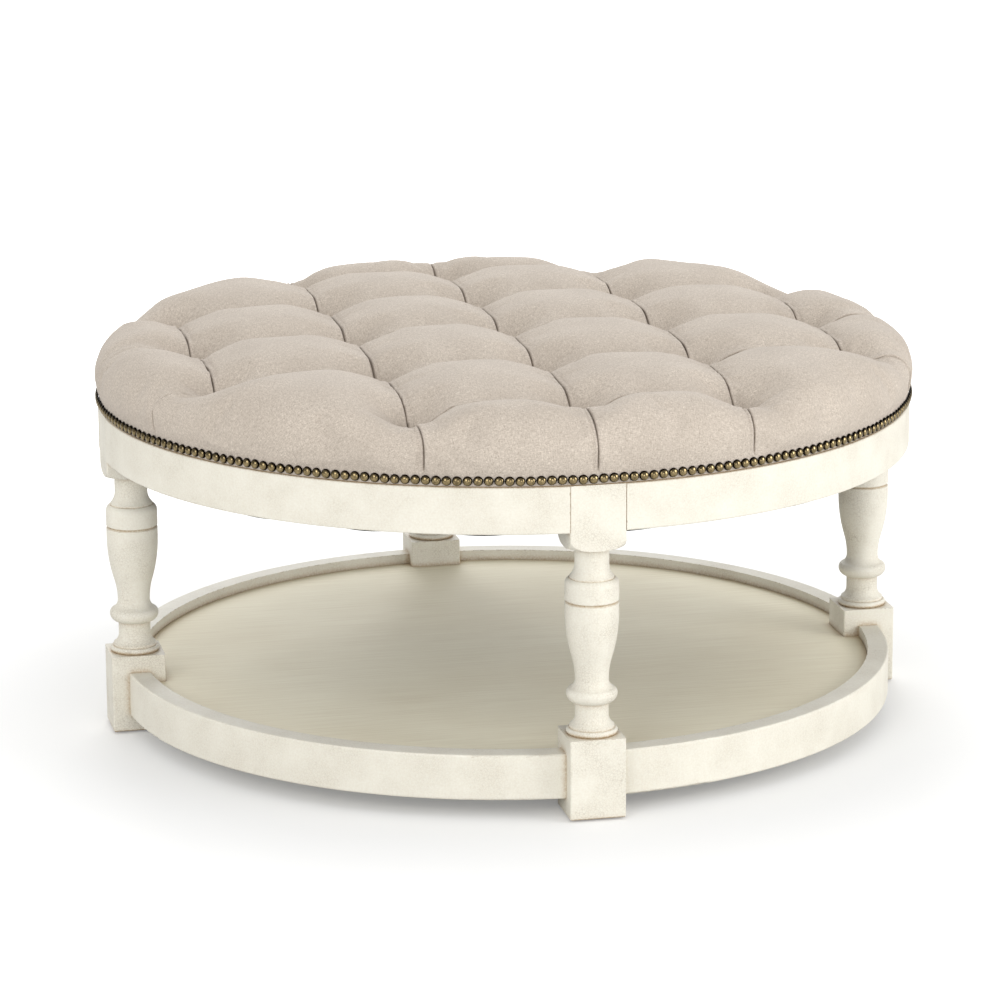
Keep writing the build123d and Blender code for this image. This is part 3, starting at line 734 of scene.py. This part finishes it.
# Tufting twine: waxed cotton, pale, its three strands twisted, with painted shade as
# darker bands for the grooves between them. From the bottom of each tuft it runs down
# through foam and deck to a knot under its clinch washer.
twine_radius = 1.2 * mm
knot_radius = 3 * mm
knot_height = 4 * mm
twine_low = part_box("tufting_twine")[0].z
twine_gap = 1.5 * mm
twine_sides = 12
twine_rings = 36
twist = 0.9 / mm
strand_depth = 0.12
strands = 3
tie_points, tie_faces = [], []
for i, j in tufts:
    spot = np.array([[i * tuft_spacing, j * tuft_spacing]])
    over = on_section(spot)[0]
    depth = tuft_sink(over, np.linalg.norm(spot, axis=1))[0][0]
    tie_top = over[0][2] - depth - twine_gap
    first = len(tie_points)
    for ring in range(twine_rings + 1):
        height = twine_low + (tie_top - twine_low) * ring / twine_rings
        in_knot = 1 - ((height - twine_low - knot_height / 2) / (knot_height / 2)) ** 2
        girth = max(twine_radius, knot_radius * sqrt(max(in_knot, 0.0)))
        for side in range(twine_sides):
            turn = 2 * pi * side / twine_sides
            radius = girth * (1 - strand_depth * cos(strands * turn + twist * height))
            x, y = spot[0] + radius * np.array([cos(turn), sin(turn)])
            tie_points.append((x, y, height))
    for ring in range(twine_rings):
        for side in range(twine_sides):
            a = first + ring * twine_sides + side
            b = first + ring * twine_sides + (side + 1) % twine_sides
            tie_faces.append((a, b, b + twine_sides, a + twine_sides))
    tie_faces.append(tuple(first + side for side in reversed(range(twine_sides))))
    tie_faces.append(tuple(first + twine_rings * twine_sides + side for side in range(twine_sides)))
tie_mesh = bpy.data.meshes.new("tuft_ties")
tie_mesh.from_pydata(tie_points, [], tie_faces)
tuft_ties = bpy.data.objects.new("tuft_ties", tie_mesh)
bpy.context.scene.collection.objects.link(tuft_ties)
twine_pale = "#d9d0b8"
twine_shade = "#b7a985"
twine_roughness = 0.8
strand_pitch = 0.3 / mm
strand_bump = 0.2 * mm
twine, twine_shader = new_material("waxed_cotton_twine", twine_pale, twine_roughness)
place = add_node(twine, "ShaderNodeTexCoord", {}, 3)
lay = add_node(
    twine, "ShaderNodeTexWave",
    {"Vector": place, "Scale": strand_pitch, "Distortion": 2.0}, bands_direction="Z",
)
# painted shade: darker bands along the twine, as the grooves between strands would be shaded
tone = add_node(
    twine, "ShaderNodeMix",
    {0: lay, 6: linear(twine_pale), 7: linear(twine_shade)}, 2, data_type="RGBA",
)
connect(twine, twine_shader, tone, lay, strand_bump)
tie_mesh.materials.append(twine)
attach(tuft_ties, "root")
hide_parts("tufting_twine")

# Nails: domed brass heads, antiqued, dark where the patina stays against the cloth,
# with painted shade in a band round each rim that leaves them bright on top. Each is driven a
# little unevenly.
nail_count = 264
nail_radius = 5.85 * mm
nail_rise = 4 * mm
nail_segments = 14
nail_rings = 8
nail_offset = 0.25 * mm
nail_tilt = 3.0
smooth_angle = 50
nail_low, nail_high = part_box("nailheads")
nail_height = (nail_low.z + nail_high.z) / 2
bpy.ops.object.select_all(action="DESELECT")
bpy.ops.mesh.primitive_uv_sphere_add(
    segments=nail_segments, ring_count=nail_rings, radius=nail_radius
)
nailheads = bpy.context.object
nailheads.name = "brass_nailheads"
bpy.ops.object.mode_set(mode="EDIT")
bpy.ops.mesh.select_all(action="SELECT")
bpy.ops.mesh.bisect(plane_co=(0, 0, 0), plane_no=(0, 0, 1), clear_inner=True, use_fill=True)
bpy.ops.mesh.select_all(action="SELECT")
bpy.ops.transform.resize(value=(1, 1, nail_rise / nail_radius))
bpy.ops.object.mode_set(mode="OBJECT")
head_points = np.array([v.co for v in nailheads.data.vertices])
head_faces = [tuple(face.vertices) for face in nailheads.data.polygons]
all_points, all_faces = [], []
for k in range(nail_count):
    turn = 2 * pi * (k + 0.5) / nail_count
    uneven = Matrix.Rotation(radians(nail_tilt * sin(5.7 * k)), 3, "X")
    uneven = uneven @ Matrix.Rotation(radians(nail_tilt * sin(3.1 * k + 1)), 3, "Y")
    outward = Matrix.Rotation(turn, 3, "Z") @ Matrix.Rotation(pi / 2, 3, "Y") @ uneven
    place = np.array([nail_line_radius * cos(turn), nail_line_radius * sin(turn), nail_height])
    place[2] += nail_offset * sin(7.3 * k)
    first = len(all_points)
    all_points += [tuple(point) for point in head_points @ np.array(outward).T + place]
    all_faces += [tuple(first + index for index in face) for face in head_faces]
nail_mesh = bpy.data.meshes.new("brass_nailheads")
nail_mesh.from_pydata(all_points, [], all_faces)
nailheads.data = nail_mesh
bpy.ops.object.shade_smooth_by_angle(angle=radians(smooth_angle))
# antiqued brass: polished on the dome, near black with patina in soft spots and
# against the cloth, and with painted shade in a band round the rim
brass_bright = "#ab9870"
brass_patina_and_shade = "#1f1812"
brass_roughness = 0.2
patina_frequency = 0.35 / mm
patina_share = 0.55
patina_reach = 5 * mm
patina_depth = 0.05 * mm
antique_brass, brass_shader = new_material("antiqued_brass", brass_bright, brass_roughness, 1.0)
place = add_node(antique_brass, "ShaderNodeTexCoord", {}, 3)
pattern = add_node(
    antique_brass, "ShaderNodeTexNoise", {"Vector": place, "Scale": patina_frequency, "Detail": 3.0}
)
uneven = add_node(
    antique_brass, "ShaderNodeMapRange", {"Value": pattern, "From Min": 0.35, "From Max": 0.65}
)
openness = add_node(
    antique_brass, "ShaderNodeAmbientOcclusion", {"Distance": patina_reach}, 1, samples=6
)
pooled_and_shade = add_node(
    antique_brass, "ShaderNodeMapRange",
    {"Value": openness, "From Min": 0.45, "From Max": 0.98, "To Min": 1.0, "To Max": 0.0},
)
patina_and_rim_shade = add_node(
    antique_brass, "ShaderNodeMath", {0: uneven, 1: patina_share}, operation="MULTIPLY"
)
patina_and_rim_shade = add_node(antique_brass, "ShaderNodeMath", {0: patina_and_rim_shade, 1: pooled_and_shade}, operation="MAXIMUM")
# painted shade: the dome darkens where it turns away from the nail's axis, a dark band round each
# rim
axis = add_node(
    antique_brass, "ShaderNodeVectorMath", {0: place, 1: (1.0, 1.0, 0.0)}, operation="MULTIPLY"
)
axis = add_node(antique_brass, "ShaderNodeVectorMath", {0: axis}, operation="NORMALIZE")
upright = add_node(antique_brass, "ShaderNodeNewGeometry", {}, 1)
facing = add_node(
    antique_brass, "ShaderNodeVectorMath", {0: axis, 1: upright}, 1, operation="DOT_PRODUCT"
)
painted_rim_shade = add_node(
    antique_brass, "ShaderNodeMapRange",
    {"Value": facing, "From Min": 0.6, "From Max": 0.95, "To Min": 1.0, "To Max": 0.0},
)
patina_and_rim_shade = add_node(antique_brass, "ShaderNodeMath", {0: patina_and_rim_shade, 1: painted_rim_shade}, operation="MAXIMUM")
tone = add_node(
    antique_brass, "ShaderNodeMix",
    {0: patina_and_rim_shade, 6: linear(brass_bright), 7: linear(brass_patina_and_shade)}, 2, data_type="RGBA",
)
connect(antique_brass, brass_shader, tone, pattern, patina_depth)
nail_mesh.materials.append(antique_brass)
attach(nailheads, "root")
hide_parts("nailheads")

# Dust cover: thin black cloth of bonded fibres, quite matt, stapled under the apron.
# It hangs a little slack between its staples, so that its edge shows in places below
# the apron.
dust_low, dust_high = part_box("dust_cover")
dust_radius = dust_high.x
dust_thickness = 0.7 * mm
dust_sag = 5 * mm
edge_slack = 2.2 * mm
edge_start_share = 0.93
slack_waves = 17
slack_least = 0.25
pucker_height = 2.8 * mm
pucker_waves = 40
pucker_power = 6
staple_gap = 0.1 * mm
post_notch = 36 * mm
notch_start = 3 * mm
dust_rings = 44
dust_spokes = 288
dust_grey = "#191a20"
dust_black = "#121318"
dust_thread = "#2a2b33"
dust_roughness = 0.95
fibre_frequency = 0.6 / mm
fibre_depth = 0.2 * mm
cloth_points, cloth_faces = [(0.0, 0.0, dust_low.z - dust_sag)], []
for ring in range(1, dust_rings + 1):
    share = ring / dust_rings
    for k in range(dust_spokes):
        turn = 2 * pi * k / dust_spokes
        radius = share * dust_radius
        x, y = radius * cos(turn), radius * sin(turn)
        wave = max(0.0, sin(slack_waves * turn + 2 * sin(3 * turn)) - slack_least)
        slack = edge_slack * wave * max(0.0, share - edge_start_share) / (1 - edge_start_share)
        sag = dust_sag * (1 - share**2) + slack
        pucker = pucker_height * sin(pucker_waves * turn) * share**pucker_power * (1 - share)
        cloth_points.append((x, y, dust_low.z + staple_gap - sag + pucker))
for k in range(dust_spokes):
    following = (k + 1) % dust_spokes
    cloth_faces.append((0, 1 + k, 1 + following))
    for ring in range(dust_rings - 1):
        a, b = 1 + ring * dust_spokes, 1 + (ring + 1) * dust_spokes
        cloth_faces.append((a + k, b + k, b + following, a + following))
dust_mesh = bpy.data.meshes.new("dust_sheet")
dust_mesh.from_pydata(cloth_points, [], cloth_faces)
work = bmesh.new()
work.from_mesh(dust_mesh)
post_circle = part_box("leg_right")[0].x
removed = []
for face in work.faces:
    across = sorted(abs(value) for value in face.calc_center_median()[:2])
    if across[0] < post_notch and across[1] > post_circle - notch_start:
        removed.append(face)
bmesh.ops.delete(work, geom=removed, context="FACES")
bmesh.ops.recalc_face_normals(work, faces=work.faces)
dust_area = sum(face.calc_area() for face in work.faces)
for face in work.faces:
    face.smooth = True
work.to_mesh(dust_mesh)
work.free()
dust_sheet = bpy.data.objects.new("dust_sheet", dust_mesh)
bpy.context.scene.collection.objects.link(dust_sheet)
bpy.ops.object.select_all(action="DESELECT")
bpy.context.view_layer.objects.active = dust_sheet
dust_sheet.select_set(True)
wall = dust_sheet.modifiers.new("wall", "SOLIDIFY")
wall.thickness = dust_thickness
bpy.ops.object.modifier_apply(modifier="wall")
dust_cloth, dust_shader = new_material("black_bonded_cloth", dust_grey, dust_roughness)
place = add_node(dust_cloth, "ShaderNodeTexCoord", {}, 3)
fibres = add_node(
    dust_cloth, "ShaderNodeTexNoise", {"Vector": place, "Scale": fibre_frequency, "Detail": 4.0}
)
tone = add_node(
    dust_cloth, "ShaderNodeMix",
    {0: fibres, 6: linear(dust_black), 7: linear(dust_thread)}, 2, data_type="RGBA",
)
connect(dust_cloth, dust_shader, tone, fibres, fibre_depth)
dust_sheet.data.materials.append(dust_cloth)
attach(dust_sheet, "root")
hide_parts("dust_cover")

# Studio: one pale floor, four soft lamps and an even sky. Seen by the camera, the
# floor glows a little by the table, where it keeps the shadow, and fades to white.
floor_size = 30.0
floor_grey = "#d9d9d8"
floor_roughness = 0.95
floor_shine = 0.1
white = "#ffffff"
glow_start, glow_end = 0.5, 1.8
near_glow, far_glow = 0.2, 0.75
aim_height = 0.3
bpy.ops.object.select_all(action="DESELECT")
bpy.ops.mesh.primitive_plane_add(size=floor_size, location=(0, 0, 0))
floor = bpy.context.object
floor.name = "studio_floor"
floor_paint, floor_shader = new_material("matt_white_floor", floor_grey, floor_roughness)
floor_shader.inputs["Specular IOR Level"].default_value = floor_shine
rays = add_node(floor_paint, "ShaderNodeLightPath", {}, 0)
spot = add_node(floor_paint, "ShaderNodeTexCoord", {}, 3)
away = add_node(floor_paint, "ShaderNodeVectorMath", {0: spot}, 1, operation="LENGTH")
strength = add_node(
    floor_paint, "ShaderNodeMapRange",
    {"Value": away, "From Min": glow_start, "From Max": glow_end,
     "To Min": near_glow, "To Max": far_glow},
)
glow = add_node(floor_paint, "ShaderNodeEmission", {"Color": linear(white), "Strength": strength})
node_tree = floor_paint.node_tree
lit = add_node(floor_paint, "ShaderNodeAddShader", {0: floor_shader.outputs[0], 1: glow})
seen = add_node(floor_paint, "ShaderNodeMixShader", {0: rays, 1: floor_shader.outputs[0], 2: lit})
node_tree.links.new(seen, node_tree.nodes["Material Output"].inputs["Surface"])
floor.data.materials.append(floor_paint)

for name, place, size, power in (
    ("key", (-2.6, -3.2, 1.7), 2.2, 46.0),
    ("fill", (3.2, -2.2, 1.3), 2.0, 62.0),
    ("low", (0.4, -4.6, 0.7), 1.4, 18.0),
    ("back", (0.3, 3.6, 2.0), 2.0, 56.0),
):
    lamp_data = bpy.data.lights.new(name, "AREA")
    lamp_data.size = size
    lamp_data.energy = power
    lamp = bpy.data.objects.new(name, lamp_data)
    lamp.location = place
    toward = Vector((0, 0, aim_height)) - Vector(place)
    lamp.rotation_euler = toward.to_track_quat("-Z", "Y").to_euler()
    bpy.context.scene.collection.objects.link(lamp)

# polished things mirror a dimmer sky than the one that lights the table, so that
# the nail heads keep their contrast
sky_strength = 0.95
mirrored_sky = 0.3
shown_sky = 1.0
world = bpy.data.worlds.new("studio_sky")
bpy.context.scene.world = world
world.use_nodes = True
in_mirror = add_node(world, "ShaderNodeLightPath", {}, "Is Glossy Ray")
in_view = add_node(world, "ShaderNodeLightPath", {}, "Is Camera Ray")
strength = add_node(
    world, "ShaderNodeMath",
    {0: in_mirror, 1: mirrored_sky - sky_strength, 2: sky_strength}, operation="MULTIPLY_ADD",
)
lighting = add_node(world, "ShaderNodeBackground", {"Color": linear(white), "Strength": strength})
shown = add_node(world, "ShaderNodeBackground", {"Color": linear(white), "Strength": shown_sky})
sky = add_node(world, "ShaderNodeMixShader", {0: in_view, 1: lighting, 2: shown})
world.node_tree.links.new(sky, world.node_tree.nodes["World Output"].inputs["Surface"])

# Camera: a long lens a little above the table, level apart from a slight roll.
camera_place = (-1.11459, -5.1034, 1.563)
camera_turn = -12.262
camera_tilt = 76.031
camera_roll = -0.297
camera_lens = 153.25
film_width = 36.0
camera_data = bpy.data.cameras.new("camera")
camera_data.lens = camera_lens
camera_data.sensor_width = film_width
camera = bpy.data.objects.new("camera", camera_data)
bpy.context.scene.collection.objects.link(camera)
aim = Matrix.Rotation(radians(camera_turn), 4, "Z") @ Matrix.Rotation(radians(camera_tilt), 4, "X")
roll = Matrix.Rotation(radians(camera_roll), 4, "Z")
camera.matrix_world = Matrix.Translation(camera_place) @ aim @ roll
bpy.context.scene.camera = camera
bpy.context.scene.view_settings.view_transform = "Standard"
